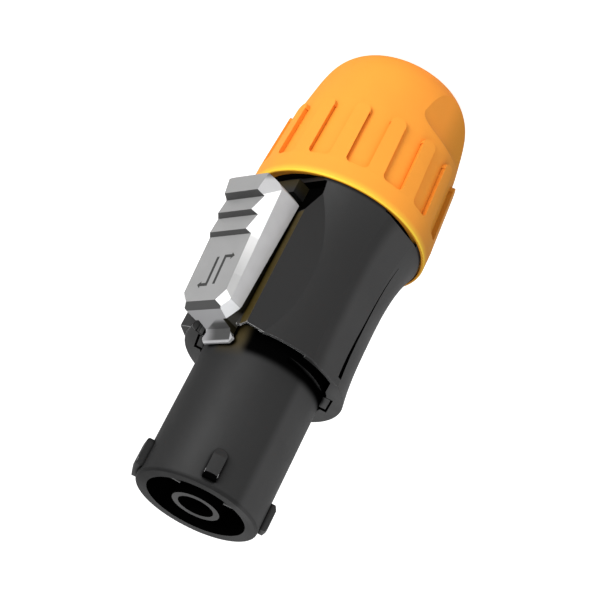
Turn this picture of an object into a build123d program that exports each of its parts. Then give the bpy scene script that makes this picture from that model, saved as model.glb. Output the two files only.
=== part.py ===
from build123d import *
from math import cos, degrees, pi, radians, sin, tan
import os

os.makedirs("parts", exist_ok=True)

# Twist-lock cable connector, mating face up, standing on the rear face of its bushing.
# All sizes are millimetres. The origin is the middle of the rear face, and +Z is the
# mating direction. The latch faces -Y.

# How far a cutting shape reaches past what it cuts, and a joined piece into its neighbour
past = 1.0
through = 20.0
join = 0.1
sliver = 0.01

# Lengths along the axis, from the rear
nut_length = 29.5
nut_gap = 0.3
body_length = 27.7
barrel_reach = 24.3

# Mating barrel
barrel_r = 10.0
cavity_r = 8.07
barrel_edge_r = 0.4
key_top_r = 11.1
key_width = 2.1
wide_key_width = 5.6
key_setback = 1.0
key_length = 4.8
key_edge = 0.35
key_root = 0.5
key_end_round = 1.0
key_tail = 1.2
key_tail_drop = 0.55
lip_thick = 0.4
lip_reach = 2.2
lip_root = 0.6
lip_depth = 4.5
lip_angle = 45.0
lip_lean = 40.0
lip_setback = 0.3
lip_wall = 0.8

# Housing body
collar_r = 13.4
collar_edge_r = 0.25
collar_slope = 0.16
collar_edge_slope = 0.1
waist_r = 12.75
waist_drop = 9.7
shoulder_r = 14.75
shoulder_slope = 0.42
lap_r = 14.7
lap_reach = 0.85
lap_clear = 0.35
neck_r = 12.3
neck_bore_r = 10.6
neck_reach = 18.0
body_bore_r = 9.3
neck_bore_depth = 16.0
recess_r = 12.5
recess_floor_r = 11.6
recess_depth = 6.0
recess_floor_thick = 1.7
recess_start = -90.0
recess_end = 76.0
recess_flat = 9.85
rim_wall = 0.3
rim_depth = 0.8
rim_start = -20.5
rim_end = 52.0
seal_groove_r = 10.7
notch_angle = 90.0
notch_width = 5.0
notch_depth = 3.0
notch_r = 11.5
tab_width = 3.9
tab_r = 11.15
tab_setback = 0.15
panel_angle = -41.0
panel_sink = 0.45
panel_width = 9.0
panel_reach = 8.0
line_angle = -55.0
line_drift = 1.1
line_width = 0.8
line_tip = 0.1
line_depth = 0.45
line_length = 22.0
line_setback = 1.5

# Latch channel, symmetric about the middle of the latch
latch_angle = 52.0
rail_half = 7.4
rail_top = 12.7
rail_lip_top = 12.1
rail_room = 4.0
rail_foot = 61.0
rail_foot_sink = 0.15
lip_half = 4.9
slot_half = 5.85
floor_level = 10.75
slot_level = 11.75
channel_rear_gap = 2.6
groove_end_setback = 3.7
pocket_half = 8.4
pocket_length = 6.0

# Latch
latch_half = 5.45
latch_neck_half = 4.5
latch_travel = 3.0
latch_clear = 0.2
flange_half = 5.6
flange_top = 11.45
flange_end_gap = 0.1
latch_stop_clear = 0.4
latch_rear_lean = 1.0
latch_rear_slope = 1.5
latch_crest_round = 0.9
latch_rear_bulge = 1.3
latch_rear_round = 0.8
latch_rear_top = 19.7
latch_front_top = 16.65
latch_front_low = 15.5
latch_front_slope = 0.75
latch_front_setback = 0.7
latch_front_half = 3.85
latch_front_round = 1.2
latch_corner = 1.5
latch_base = 12.7
latch_foot_setback = 1.6
skirt_rear = 12.5
skirt_front = 13.4
grip_tops = (19.65, 18.95, 18.35)
grip_floors = (18.3, 17.9, 17.5)
grip_pitch = 3.35
grip_first = 2.4
grip_face = 0.3
bevel_edge = 16.85
bevel_rise = 1.42
bevel_tilt = 3.1
rim_half = 4.3
rim_level = 19.43
rim_setback = 0.35
rim_facing = (0.888, 0.405, 0.218)
corner_half = 4.68
corner_level = 16.89
corner_setback = 2.6
corner_facing = (0.477, 0.748, 0.462)
nose_reach = 1.9
nose_top = 11.1
nose_root_rise = 0.3
nose_root_sink = 0.1
nose_shelf = 0.4
nose_tip_rise = 0.3
nose_neck = 2.7
nose_head = 3.3
nose_neck_end = 0.3
nose_head_start = 1.0
nose_head_end = 0.6
nose_tip = 2.8
nose_bottom = 10.3
nose_edge = 0.4
nose_under = 0.9
latch_pocket_half = 2.2
latch_pocket_roof = 14.3
latch_pocket_length = 9.2
latch_relief_half = 3.75
latch_relief_roof = 13.7
latch_relief_length = 2.2

# Latch stop and return spring
stop_half = 3.4
stop_top = 13.3
spring_wire = 0.35
spring_mean_r = 1.3
spring_level = 12.4
spring_turns = 10
spring_seat_gap = 0.05
peg_r = 0.8
peg_length = 2.0

# Contact insert
insert_clear = 0.15
blade_clear = 0.1
fit_gap = 0.05
spigot_r = 3.88
spigot_bore_r = 2.9
spigot_bore_sink = 2.0
insert_front = 14.0
flange_thick = 9.0
terminal_length = 10.5
terminal_angles = (90.0, 210.0, 330.0)
terminal_pitch_r = 5.3
terminal_side = 5.2
contact_r = 6.5
contact_thick = 0.7
contact_sweep = 42.0
contact_setback = 5.0
wire_r = 1.7
wire_stop = 1.0
shank_root = 0.3
screw_r = 1.2
screw_clear = 0.1
screw_tip = 1.15
screw_seat_gap = 0.1
screw_head_r = 1.55
screw_head_clear = 0.15
screw_head = 1.1
screw_slot = 0.4
screw_slot_depth = 0.45
plate_thick = 0.8
insert_seal_wire_r = 0.6
insert_seal_drop = 5.0

# Bushing
nut_front_r = 15.55
nut_rib_rear_r = 14.95
nut_lip_round = 0.45
nut_band = 3.8
nut_floor_front_r = 14.75
nut_floor_rear_r = 14.15
nut_floor_run = 1.0
rib_count = 15
rib_rear = 14.0
groove_width = 3.75
groove_corner = 0.9
rib_root = 1.2
knob_length = 4.0
rib_phase = -4.0
dome_mid_r = 13.52
dome_mid = 8.0
dome_edge_r = 12.98
dome_edge = 5.0
dome_front_slope = 0.06
dome_mid_slope = 0.14
dome_edge_slope = 0.25
dome_tuck = 0.6
dome_tuck_level = 2.0
rear_round = 1.6
rear_face_r = 9.0
cable_bore_r = 7.0
cable_bore_length = 3.0
flat_r = 12.0
flat_length = 9.0
flat_run_out = 3.6
flat_fade = 0.35
flat_end_gap = 0.5
flat_angle = 170.5
thread_clear = 0.3
seal_seat_r = 13.55
seal_seat_depth = 5.2
cone_front_gap = 0.4
cone_land = 1.0
cone_front_r = 11.0
cone_rear_r = 8.4

# Cable clamp and cable seal
clamp_clear = 0.3
clamp_top_gap = 1.5
clamp_bore_r = 8.3
clamp_tip_r = 7.6
clamp_tip_gap = 1.2
clamp_slots = 6
clamp_slot = 1.2
clamp_slot_top = 17.0
clamp_tip_wall = 0.6
clamp_tip_land = 1.2
clamp_taper = 2.0
seal_wall = 1.9
seal_length = 11.0
seal_ridge = 0.4
seal_ridges = 3

# Seals
front_seal_thick = 1.2
front_seal_clear = 0.1
seal_groove_clear = 0.1
neck_seal_wire_r = 0.7
neck_seal_drop = 2.0

# Levels that follow
z_shoulder = nut_length + nut_gap
z_collar = z_shoulder + body_length
z_front = z_collar + barrel_reach
z_neck = z_shoulder - neck_reach
z_cone = z_neck - cone_front_gap
z_band = nut_length - nut_band
z_seal = z_shoulder - neck_seal_drop
z_recess = z_collar - recess_depth
z_step = z_recess - recess_floor_thick
z_stop = z_shoulder + channel_rear_gap
z_latch_rear = z_stop + latch_travel + latch_stop_clear - latch_rear_lean
z_latch_front = z_collar - latch_front_setback
z_insert = z_front - insert_front
z_flange = z_step - flange_thick
z_terminal = z_flange - terminal_length
z_screw = z_terminal + terminal_length / 2
z_insert_seal = z_step - insert_seal_drop
z_clamp = z_neck + neck_bore_depth - clamp_top_gap


def turn(angle):
    """Angle in the model of an angle counted from the middle key, with the latch at -Y."""
    return angle - latch_angle - 90


def ring(outer, inner, low, high):
    """Plain ring between two levels."""
    tube = Cylinder(outer, high - low) - Cylinder(inner, high - low)
    return Pos(0, 0, (low + high) / 2) * tube


def disc(radius, low, high):
    """Plain cylinder between two levels."""
    return Pos(0, 0, (low + high) / 2) * Cylinder(radius, high - low)


def block(x_low, x_high, level_low, level_high, low, high):
    """Box given by x, by its height over the axis towards the latch, and by its levels."""
    size = Box(x_high - x_low, level_high - level_low, high - low)
    return Pos((x_low + x_high) / 2, -(level_low + level_high) / 2, (low + high) / 2) * size


def revolved(outline):
    """Solid of revolution of a closed list of (radius, level) points."""
    return revolve(Plane.XZ * make_face(Polyline(*outline, close=True)), Axis.Z)


def radial(shape, angle):
    """Shape drawn on +X turned to an angle about the axis."""
    return Rot(0, 0, angle) * shape


def key(angle, width):
    """Bayonet key: flat front with a bevelled top edge, and a round rear end that slopes down."""
    front = z_front - key_setback
    rear = front - key_length
    plan = Pos(0, (front + rear) / 2) * Rectangle(width, key_length)
    plan = fillet(plan.vertices().group_by(Axis.Y)[0], key_end_round)
    bar = extrude(Plane.YZ * plan, key_top_r)
    bar = bar & disc(key_top_r, rear - past, front + past)
    ramp = Plane.XZ * make_face(Polyline(
        (key_top_r - key_edge, front + sliver), (key_top_r + past, front + sliver),
        (key_top_r + past, front - 2 * key_edge), (key_top_r, front - 2 * key_edge), close=True))
    bar = bar - extrude(ramp, width, both=True)
    tail = Plane.XZ * make_face(Polyline(
        (key_top_r - key_tail_drop, rear - sliver), (key_top_r + past, rear - sliver),
        (key_top_r + past, rear + key_tail), (key_top_r, rear + key_tail), close=True))
    bar = bar - extrude(tail, width, both=True)
    return radial(bar - disc(barrel_r - key_root, rear - past, front + past), turn(angle))


def guide_lip(angle):
    """Thin lip that leans inwards from the cavity wall beside the middle key."""
    lip = Box(lip_reach + lip_root, lip_thick, lip_depth)
    lean = lip_lean if angle > 0 else -lip_lean
    lip = Rot(0, 0, lean) * Pos((lip_root - lip_reach) / 2, 0, 0) * lip
    lip = Pos(cavity_r, 0, z_front - lip_depth / 2 - lip_setback) * lip
    return radial(lip, turn(angle)) & disc(barrel_r - lip_wall, z_step, z_front)


def waisted(sink):
    """Half section of the waisted body, drawn in by a given depth."""
    shoulder = shoulder_r - sink
    collar = collar_r - sink
    edge = z_collar - collar_edge_r
    lines = [
        Line((0, z_shoulder), (shoulder, z_shoulder)),
        Spline((shoulder, z_shoulder), (waist_r - sink, z_collar - waist_drop), (collar, edge),
               tangents=[(-shoulder_slope, 1), (0, 1), (collar_slope, 1)]),
        Spline((collar, edge), (collar - collar_edge_r, z_collar),
               tangents=[(collar_edge_slope, 1), (-1, 0)]),
        Line((collar - collar_edge_r, z_collar), (0, z_collar)),
        Line((0, z_collar), (0, z_shoulder))]
    return Plane.XZ * make_face(lines)


def body_shell():
    """Waisted body between the collar and the shoulder, with the threaded neck behind."""
    body = revolve(waisted(0), Axis.Z)
    front = disc(barrel_r, z_collar - past, z_front)
    rim = front.edges().filter_by(GeomType.CIRCLE).sort_by(Axis.Z)[-1]
    front = fillet(rim, barrel_edge_r)
    lap = disc(lap_r, z_shoulder - lap_reach, z_shoulder + join)
    return body + front + lap + disc(neck_r, z_neck, z_shoulder + past)


def rail_plan(inset):
    """Cross section of the raised channel, whose sides run out into the round body."""
    foot = waist_r - rail_foot_sink - inset
    foot_x = foot * sin(radians(rail_foot))
    foot_level = foot * cos(radians(rail_foot))
    half = rail_half - inset
    return make_face(Polyline(
        (-foot_x, -foot_level), (-half, -rail_top + inset), (-lip_half, -rail_lip_top + inset),
        (lip_half, -rail_lip_top + inset), (half, -rail_top + inset), (foot_x, -foot_level),
        close=True))


def rails():
    """Raised box that carries the latch channel."""
    box = Pos(0, 0, z_shoulder) * extrude(rail_plan(0), body_length - collar_edge_r / 2)
    return box - disc(body_bore_r, z_shoulder - past, z_collar + past)


def channel():
    """Everything that the latch channel takes out of the housing."""
    z_top = z_collar + past
    over = rail_top + rail_room
    cut = block(-lip_half, lip_half, floor_level, over, z_shoulder, z_top)
    cut += block(-slot_half, slot_half, floor_level, slot_level, z_stop - join,
                 z_collar - groove_end_setback)
    mouth = Polyline(
        (-pocket_half, z_shoulder), (-rail_half, z_shoulder + pocket_length),
        (rail_half, z_shoulder + pocket_length), (pocket_half, z_shoulder), close=True)
    pocket = extrude(Plane.XZ.offset(floor_level) * make_face(mouth), 2 * rail_room)
    lap_cut = block(-pocket_half, pocket_half, neck_r, over, z_shoulder - lap_reach - join,
                    z_shoulder + join)
    return cut + pocket + lap_cut


def sector(start, end, low, high):
    """Wedge about the axis between two angles and two levels, reaching past the body."""
    corners = []
    steps = 4
    for i in range(steps + 1):
        angle = radians(turn(start + (end - start) * i / steps))
        corners.append((2 * shoulder_r * cos(angle), 2 * shoulder_r * sin(angle)))
    wedge = make_face(Polyline((0, 0), *corners, close=True))
    return Pos(0, 0, low) * extrude(wedge, high - low)


def tab_notch(angle):
    """Slot round a small tab that stands on the barrel, in the front face of the collar."""
    slot = Pos(notch_r / 2, 0, z_collar + (past - notch_depth) / 2)
    slot = slot * Box(notch_r, notch_width, notch_depth + past)
    return radial(slot, turn(angle))


def tab(angle):
    """The small tab itself."""
    bar = Pos(tab_r / 2, 0, z_collar - (notch_depth + tab_setback) / 2)
    bar = bar * Box(tab_r, tab_width, notch_depth - tab_setback)
    return radial(bar, turn(angle))


def recess():
    """Pocket beside the barrel with a thin front rim, the seal's groove and two tab notches."""
    spread = (recess_r - recess_floor_r) / recess_depth
    pocket = revolved([(barrel_r - past, z_recess), (recess_floor_r, z_recess),
                       (recess_r + spread * past, z_collar + past),
                       (barrel_r - past, z_collar + past)])
    flat_side = Pos(0, shoulder_r - recess_flat, z_collar) * Box(
        4 * shoulder_r, 2 * shoulder_r, 4 * recess_depth)
    pocket = pocket & radial(flat_side, turn(0))
    pocket = pocket & sector(recess_start, recess_end, z_recess - past, z_collar + 2 * past)
    rim = extrude(Circle(collar_r - rim_wall) + rail_plan(rim_wall), rim_depth + past)
    rim = Pos(0, 0, z_collar - rim_depth) * rim
    rim = rim & sector(rim_start, rim_end, z_recess, z_collar + 2 * past)
    groove = ring(seal_groove_r, barrel_r - past, z_recess, z_collar + past)
    cut = pocket + rim + groove
    for angle in (notch_angle, -notch_angle):
        cut = cut + tab_notch(angle)
        cut = cut - tab(angle)
    return cut - disc(barrel_r, 0, z_front)


def make_front_seal():
    """Rubber ring on the floor of the groove round the barrel."""
    return ring(seal_groove_r - front_seal_clear, barrel_r + fit_gap, z_recess,
                z_recess + front_seal_thick)


def name_panel():
    """Flat field that follows the waist, and the narrow tapering line beside it."""
    block_size = Box(panel_reach, panel_width, body_length + 2 * past)
    field = Pos(waist_r, 0, z_shoulder + body_length / 2) * block_size
    field -= extrude(waisted(panel_sink), panel_width, both=True)
    high = z_collar - line_setback
    low = high - line_length
    groove = Plane.YZ * make_face(Polyline(
        (-line_width / 2, high), (line_width / 2, high), (line_tip / 2 - line_drift, low),
        (-line_tip / 2 - line_drift, low), close=True))
    groove = extrude(groove, through) - disc(waist_r - line_depth, low - past, z_collar)
    return radial(field, turn(panel_angle)) + radial(groove, turn(line_angle))


def make_housing():
    """One moulding: barrel, keys, collar, body, latch rails and threaded neck."""
    shell = body_shell() + rails()
    shell = shell - channel() - recess() - name_panel()
    shell = shell - disc(cavity_r, z_step, z_front + past)
    shell = shell - disc(body_bore_r, z_neck - past, z_step)
    shell = shell - disc(neck_bore_r, z_neck - past, z_neck + neck_bore_depth)
    groove_half = neck_seal_wire_r + seal_groove_clear
    seat = ring(neck_r + 2 * past, neck_r - neck_seal_wire_r, z_seal - groove_half,
                z_seal + groove_half)
    shell = shell - seat
    for angle, width in ((0, key_width), (90, wide_key_width), (180, key_width),
                         (-90, key_width)):
        shell = shell + key(angle, width)
    for angle in (lip_angle, -lip_angle):
        shell = shell + guide_lip(angle)
    return shell


def latch_side():
    """Side view of the latch, drawn from its height over the axis, without its hollow."""
    bottom = floor_level + latch_clear
    tip = z_collar + nose_reach
    corners = [(bottom, z_latch_rear + latch_rear_lean), (latch_base, z_latch_rear),
               (latch_rear_top, z_latch_rear - latch_rear_slope)]
    for step in range(3):
        edge = z_latch_rear + grip_first + step * grip_pitch
        corners += [(grip_tops[step], edge), (grip_floors[step], edge + grip_face)]
    corners += [(latch_front_top, z_latch_front - latch_front_slope),
                (latch_front_low, z_latch_front), (nose_top + nose_root_rise, z_collar - nose_root_sink),
                (nose_top, z_collar + nose_shelf), (nose_top - nose_edge, tip - nose_edge),
                (nose_bottom + nose_tip_rise, tip), (nose_bottom, tip),
                (nose_bottom, z_collar - nose_under), (bottom, z_collar - latch_foot_setback)]
    side = make_face(Polyline(*[(-level, z) for level, z in corners], close=True))
    crest = side.vertices().sort_by(Axis.Y)[0]
    return fillet(crest, latch_crest_round)


def latch_plan(half, side):
    """Outline seen from outside: bowed rear end, then side corners mirrored to both sides."""
    rear = z_latch_rear - latch_rear_slope + latch_rear_bulge
    mirrored = [(-x, z) for x, z in reversed(side)]
    bow = ThreePointArc((-half, rear), (0, rear - latch_rear_bulge), (half, rear))
    outline = Polyline((half, rear), *side, *mirrored, (-half, rear))
    face = make_face([bow, outline])
    face = fillet(face.vertices().group_by(Axis.Y)[0], latch_rear_round)
    front = [corner for corner in face.vertices()
             if abs(abs(corner.X) - half) < sliver and corner.Y > side[0][1] - sliver]
    return fillet(front, latch_front_round)


def beyond(point, facing):
    """Everything on the far side of a plane, as a large block."""
    reach = 100
    return Plane(origin=point, z_dir=facing) * Pos(0, 0, reach / 2) * Box(reach, reach, reach)


def bevels(way):
    """What is taken off one long side: a bevel that stops at the rear rim, and the corner."""
    side = beyond((way * latch_half, -bevel_edge, z_latch_rear),
                  (way * bevel_rise, -1, tan(radians(bevel_tilt))))
    out, up, on = rim_facing
    rim = beyond((way * rim_half, -rim_level, z_latch_rear + rim_setback), (way * out, -up, on))
    out, up, on = corner_facing
    corner = beyond((way * corner_half, -corner_level, z_latch_front - corner_setback),
                    (way * out, -up, on))
    return (side & rim) + corner


def make_latch():
    """Die-cast thumb slide: stepped grip, bevels, skirt over a neck with flanges, and nose."""
    body = extrude(Plane.YZ * latch_side(), latch_half, both=True)
    z_low = z_latch_rear - latch_pocket_length
    head_plan = latch_plan(latch_half, [
        (latch_half, z_latch_front - latch_corner), (latch_front_half, z_latch_front),
        (nose_neck, z_collar + join)])
    head = body & extrude(Plane.XZ * head_plan, 2 * latch_rear_top)
    skirt = Plane.YZ * make_face(Polyline(
        (0, z_low), (-skirt_rear, z_low), (-skirt_rear, z_latch_rear),
        (-skirt_front, z_latch_front), (-skirt_front, z_collar + past), (0, z_collar + past),
        close=True))
    head = head - extrude(skirt, 2 * latch_half, both=True)
    for way in (-1, 1):
        head = head - bevels(way)
    tip = z_collar + nose_reach
    neck_plan = latch_plan(latch_neck_half, [
        (latch_neck_half, z_latch_front - latch_corner - nose_edge),
        (nose_neck, z_latch_front - nose_edge / 2), (nose_neck, z_collar + nose_neck_end),
        (nose_head, z_collar + nose_head_start), (nose_head, tip - nose_head_end), (nose_tip, tip)])
    neck = body & extrude(Plane.XZ * neck_plan, skirt_front + nose_edge)
    flange = block(-flange_half, flange_half, floor_level + latch_clear, flange_top,
                   z_latch_rear + latch_rear_lean, z_collar - groove_end_setback - flange_end_gap)
    latch = head + neck + flange
    latch = latch - block(-latch_pocket_half, latch_pocket_half, 0, latch_pocket_roof,
                          z_low, z_latch_rear + latch_pocket_length)
    return latch - block(-latch_relief_half, latch_relief_half, 0, latch_relief_roof,
                         z_low, z_latch_rear + latch_relief_length)


def make_latch_stop():
    """Plate that closes the rear of the channel and seats the spring on its peg."""
    plate = block(-stop_half, stop_half, floor_level, stop_top, z_shoulder + fit_gap, z_stop)
    peg = Pos(0, -spring_level, z_stop + peg_length / 2) * Cylinder(peg_r, peg_length)
    return plate + peg


def make_spring():
    """Compression spring between the stop and the end of the latch's pocket."""
    top = z_latch_rear + latch_pocket_length
    height = top - z_stop - spring_wire - 2 * spring_seat_gap
    path = Helix(height / spring_turns, height, spring_mean_r)
    start = Plane(origin=path @ 0, z_dir=path % 0)
    coil = sweep(start * Circle(spring_wire / 2), path)
    return Pos(0, -spring_level, z_stop + spring_wire / 2 + spring_seat_gap) * coil


def terminal_place(angle):
    """Place of one terminal, as its middle on the axis side."""
    return Rot(0, 0, turn(angle)) * Pos(terminal_pitch_r, 0, 0)


def contact_slot(angle, clear):
    """Curved bar through the insert that a contact blade fills."""
    bar = ring(contact_r + contact_thick / 2 + clear, contact_r - contact_thick / 2 - clear,
               z_flange - past, z_insert + past)
    half = radians(contact_sweep / 2 + degrees(clear / contact_r))
    wedge = make_face(Polyline((0, 0), (through, -through * tan(half)),
                               (through, through * tan(half)), close=True))
    wedge = Pos(0, 0, z_flange - 2 * past) * extrude(wedge, z_front)
    return bar & radial(wedge, turn(angle))


def chamber(angle, clear):
    """Square chamber of one terminal, open to the rear."""
    side = terminal_side + 2 * clear
    room = Box(side, side, terminal_length + past)
    return terminal_place(angle) * Pos(0, 0, z_flange - (terminal_length + past) / 2) * room


def screw_hole(angle, radius, low, high):
    """Radial cylinder at a terminal's screw, between two distances from the axis."""
    bar = Pos((low + high) / 2, 0, z_screw) * Rot(0, 90, 0) * Cylinder(radius, high - low)
    return radial(bar, turn(angle))


def make_insert():
    """Moulded carrier: centre spigot, disc with blade slots, and three terminal chambers."""
    body = disc(cavity_r - insert_clear, z_flange, z_insert)
    body += disc(body_bore_r - insert_clear, z_terminal, z_step - fit_gap)
    body += disc(spigot_r, z_insert, z_front - fit_gap)
    body -= disc(spigot_bore_r, z_insert - spigot_bore_sink, z_front + past)
    groove_half = insert_seal_wire_r + seal_groove_clear
    body -= ring(body_bore_r, body_bore_r - 2 * insert_seal_wire_r - seal_groove_clear,
                 z_insert_seal - groove_half, z_insert_seal + groove_half)
    for angle in terminal_angles:
        body -= chamber(angle, blade_clear)
        body -= contact_slot(angle, blade_clear)
        body -= screw_hole(angle, screw_head_r + screw_head_clear, terminal_pitch_r,
                           body_bore_r + past)
    return body


def make_contact(angle):
    """Blade with a curved front, a shank through the insert and a clamp box behind."""
    low = z_terminal + 2 * blade_clear
    high = z_flange - blade_clear
    box = Pos(0, 0, (low + high) / 2) * Box(terminal_side, terminal_side, high - low)
    box -= Pos(0, 0, (low + high) / 2 - wire_stop) * Cylinder(wire_r, high - low)
    box = terminal_place(angle) * box
    box -= screw_hole(angle, screw_r + screw_clear, terminal_pitch_r, body_bore_r)
    front = ring(contact_r + contact_thick / 2, contact_r - contact_thick / 2,
                 z_insert, z_front - contact_setback)
    half = radians(contact_sweep / 2)
    wedge = make_face(Polyline((0, 0), (through, -through * tan(half)),
                               (through, through * tan(half)), close=True))
    wedge = radial(Pos(0, 0, z_insert - past) * extrude(wedge, z_front), turn(angle))
    shank = contact_slot(angle, 0) & disc(through, high - shank_root, z_insert + join)
    return box + shank + (front & wedge)


def make_screw(angle):
    """Terminal screw with a slotted head, lying radially in the insert."""
    seat = terminal_pitch_r + terminal_side / 2 + screw_seat_gap
    screw = screw_hole(angle, screw_r, terminal_pitch_r + screw_tip, seat + join)
    screw += screw_hole(angle, screw_head_r, seat, seat + screw_head)
    slot = Box(2 * screw_slot_depth, screw_slot, 2 * screw_head_r + past)
    slot = Pos(seat + screw_head, 0, z_screw) * slot
    return screw - radial(slot, turn(angle))


def make_plate(angle):
    """Pressure plate between the screw's tip and the wire."""
    middle = terminal_pitch_r + screw_tip - fit_gap - plate_thick / 2
    plate = Pos(middle, 0, z_screw) * Box(plate_thick, 2 * screw_r, 2 * wire_r)
    room = terminal_place(angle) * disc(wire_r - fit_gap, z_terminal, z_flange)
    return radial(plate, turn(angle)) & room


def make_ring_seal(mean_r, wire_r, level):
    """Rubber ring of round section."""
    return Pos(0, 0, level) * Torus(mean_r, wire_r)


def nut_wall():
    """Skirt and dome of the bushing without ribs, before it is hollowed."""
    lines = [
        Line((0, nut_length), (nut_floor_front_r, nut_length)),
        Line((nut_floor_front_r, nut_length), (nut_floor_front_r, z_band)),
        Line((nut_floor_front_r, z_band), (nut_floor_rear_r, rib_rear - nut_floor_run)),
        Spline((nut_floor_rear_r, rib_rear - nut_floor_run), (dome_mid_r, dome_mid),
               (dome_edge_r, dome_edge), tangents=[
                   (-dome_front_slope, -1), (-dome_mid_slope, -1), (-dome_edge_slope, -1)]),
        Bezier((dome_edge_r, dome_edge), (dome_edge_r - dome_tuck, dome_tuck_level),
               (rear_face_r + rear_round, 0), (rear_face_r, 0)),
        Line((rear_face_r, 0), (0, 0)),
        Line((0, 0), (0, nut_length))]
    return revolve(Plane.XZ * make_face(lines), Axis.Z)


def rib_shell():
    """Surface that the band and the rib tops share, with the rolled front lip."""
    outline = Polyline(
        (nut_floor_rear_r - rib_root, nut_length), (nut_front_r, nut_length),
        (nut_front_r, z_band), (nut_rib_rear_r, rib_rear),
        (nut_floor_rear_r - rib_root, rib_rear), close=True)
    shell = revolve(Plane.XZ * make_face(outline), Axis.Z)
    rim = shell.edges().filter_by(GeomType.CIRCLE).group_by(Axis.Z)[-1].sort_by(SortBy.RADIUS)[-1]
    return fillet(rim, nut_lip_round)


def grip_ribs():
    """Front band with ribs left standing between the grooves, round at their rear ends."""
    shell = rib_shell()
    pitch = 360 / rib_count
    mid_r = (nut_front_r + nut_rib_rear_r) / 2
    end_r = (2 * pi * mid_r / rib_count - groove_width) / 2
    z_end = rib_rear + end_r
    plan = Rectangle(groove_width, z_band - rib_rear + 2 * past)
    plan = Pos(0, (z_band + rib_rear) / 2 - past) * plan
    plan = fillet(plan.vertices().group_by(Axis.Y)[-1], groove_corner)
    groove = extrude(Plane.YZ * plan, nut_front_r + 2 * past)
    bodies = shell & disc(nut_front_r + past, z_end, nut_length)
    for number in range(rib_count):
        angle = rib_phase + (number + 0.5) * pitch
        bodies -= radial(groove, angle)
    ends = shell & disc(nut_front_r + past, rib_rear, z_end + join)
    knobs = []
    for number in range(rib_count):
        knob = Pos(nut_floor_rear_r, 0, z_end) * Rot(0, 90, 0) * Cylinder(end_r, knob_length)
        knobs.append(ends & radial(knob, rib_phase + number * pitch))
    for knob in knobs:
        bodies += knob
    return bodies


def rib_zone():
    """Space of the ribs, which the spanner flats leave whole."""
    return disc(nut_front_r + through, rib_rear - flat_end_gap, nut_length)


def make_nut():
    """Bushing: ribbed skirt with a rolled lip, rounded rear with two spanner flats."""
    body = nut_wall() + grip_ribs()
    body -= disc(seal_seat_r, nut_length - seal_seat_depth, nut_length + past)
    body -= ring(lap_r + lap_clear, seal_seat_r - past, nut_length - lap_reach, nut_length + past)
    body -= disc(neck_r + thread_clear, z_cone, nut_length)
    cone = Polyline((0, z_cone + join), (cone_front_r, z_cone + join),
                    (cone_front_r, z_cone - cone_land), (cone_rear_r, cable_bore_length),
                    (0, cable_bore_length), close=True)
    body -= revolve(Plane.XZ * make_face(cone), Axis.Z)
    body -= disc(cable_bore_r, -past, cable_bore_length + past)
    run_top = flat_length + flat_run_out
    lead = make_face([
        Line((flat_r, -past), (flat_r, flat_length)),
        Spline((flat_r, flat_length), (flat_r + flat_run_out, run_top),
               tangents=[(0, 1), (1, flat_fade)]),
        Line((flat_r + flat_run_out, run_top), (flat_r + flat_run_out, -past)),
        Line((flat_r + flat_run_out, -past), (flat_r, -past))])
    flat = extrude(Plane.XZ * lead, through, both=True)
    flat -= rib_zone()
    for angle in (flat_angle, flat_angle + 180):
        body -= radial(flat, angle)
    return body


def make_clamp():
    """Slotted collet that grips the cable when the bushing drives it forward."""
    outer = neck_bore_r - clamp_clear
    tip = cable_bore_length + clamp_tip_gap
    slope = (cone_front_r - cone_rear_r) / (z_cone - cone_land - cable_bore_length)
    tip_outer = cone_rear_r + slope * clamp_tip_gap - clamp_clear
    shoulder = z_cone - cone_land - (cone_front_r - outer - clamp_clear) / slope
    tip_inner = clamp_tip_r - clamp_tip_wall
    taper = tip + clamp_tip_land + (clamp_bore_r - tip_inner) * clamp_taper
    outline = Polyline(
        (clamp_bore_r, z_clamp), (outer, z_clamp), (outer, shoulder), (tip_outer, tip),
        (tip_inner, tip), (tip_inner, tip + clamp_tip_land), (clamp_bore_r, taper), close=True)
    body = revolve(Plane.XZ * make_face(outline), Axis.Z)
    for number in range(clamp_slots // 2):
        slot = block(-2 * outer, 2 * outer, -clamp_slot / 2, clamp_slot / 2, 0, clamp_slot_top)
        body -= radial(slot, number * 360 / clamp_slots + 180 / clamp_slots)
    return body


def make_cable_seal():
    """Rubber sleeve inside the collet, with shallow grip ridges."""
    outer = clamp_bore_r - fit_gap
    inner = outer - seal_wall
    low = z_clamp - seal_length
    outline = [(inner, low), (outer, low), (outer, z_clamp), (inner, z_clamp)]
    step = seal_length / (2 * seal_ridges)
    for number in range(seal_ridges):
        level = z_clamp - step * (2 * number + 1)
        outline += [(inner, level + step / 2), (inner - seal_ridge, level),
                    (inner, level - step / 2)]
    return revolved(outline)


export_step(make_housing(), "parts/housing.step")
export_step(make_latch(), "parts/latch.step")
export_step(make_latch_stop(), "parts/latch_stop.step")
export_step(make_spring(), "parts/latch_spring.step")
export_step(make_insert(), "parts/contact_insert.step")
export_step(make_front_seal(), "parts/front_seal.step")
export_step(make_ring_seal(body_bore_r - insert_seal_wire_r - fit_gap, insert_seal_wire_r,
                           z_insert_seal), "parts/insert_seal.step")
export_step(make_ring_seal(neck_r + fit_gap, neck_seal_wire_r, z_seal), "parts/neck_seal.step")
export_step(make_clamp(), "parts/cable_clamp.step")
export_step(make_cable_seal(), "parts/cable_seal.step")
export_step(make_nut(), "parts/gland_nut.step")
for name, angle in zip(("line", "neutral", "earth"), terminal_angles):
    export_step(make_contact(angle), "parts/contact_" + name + ".step")
    export_step(make_screw(angle), "parts/terminal_screw_" + name + ".step")
    export_step(make_plate(angle), "parts/clamp_plate_" + name + ".step")
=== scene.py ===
from math import cos, pi, radians, sin

import bpy
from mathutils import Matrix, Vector
from mathutils.bvhtree import BVHTree


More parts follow.
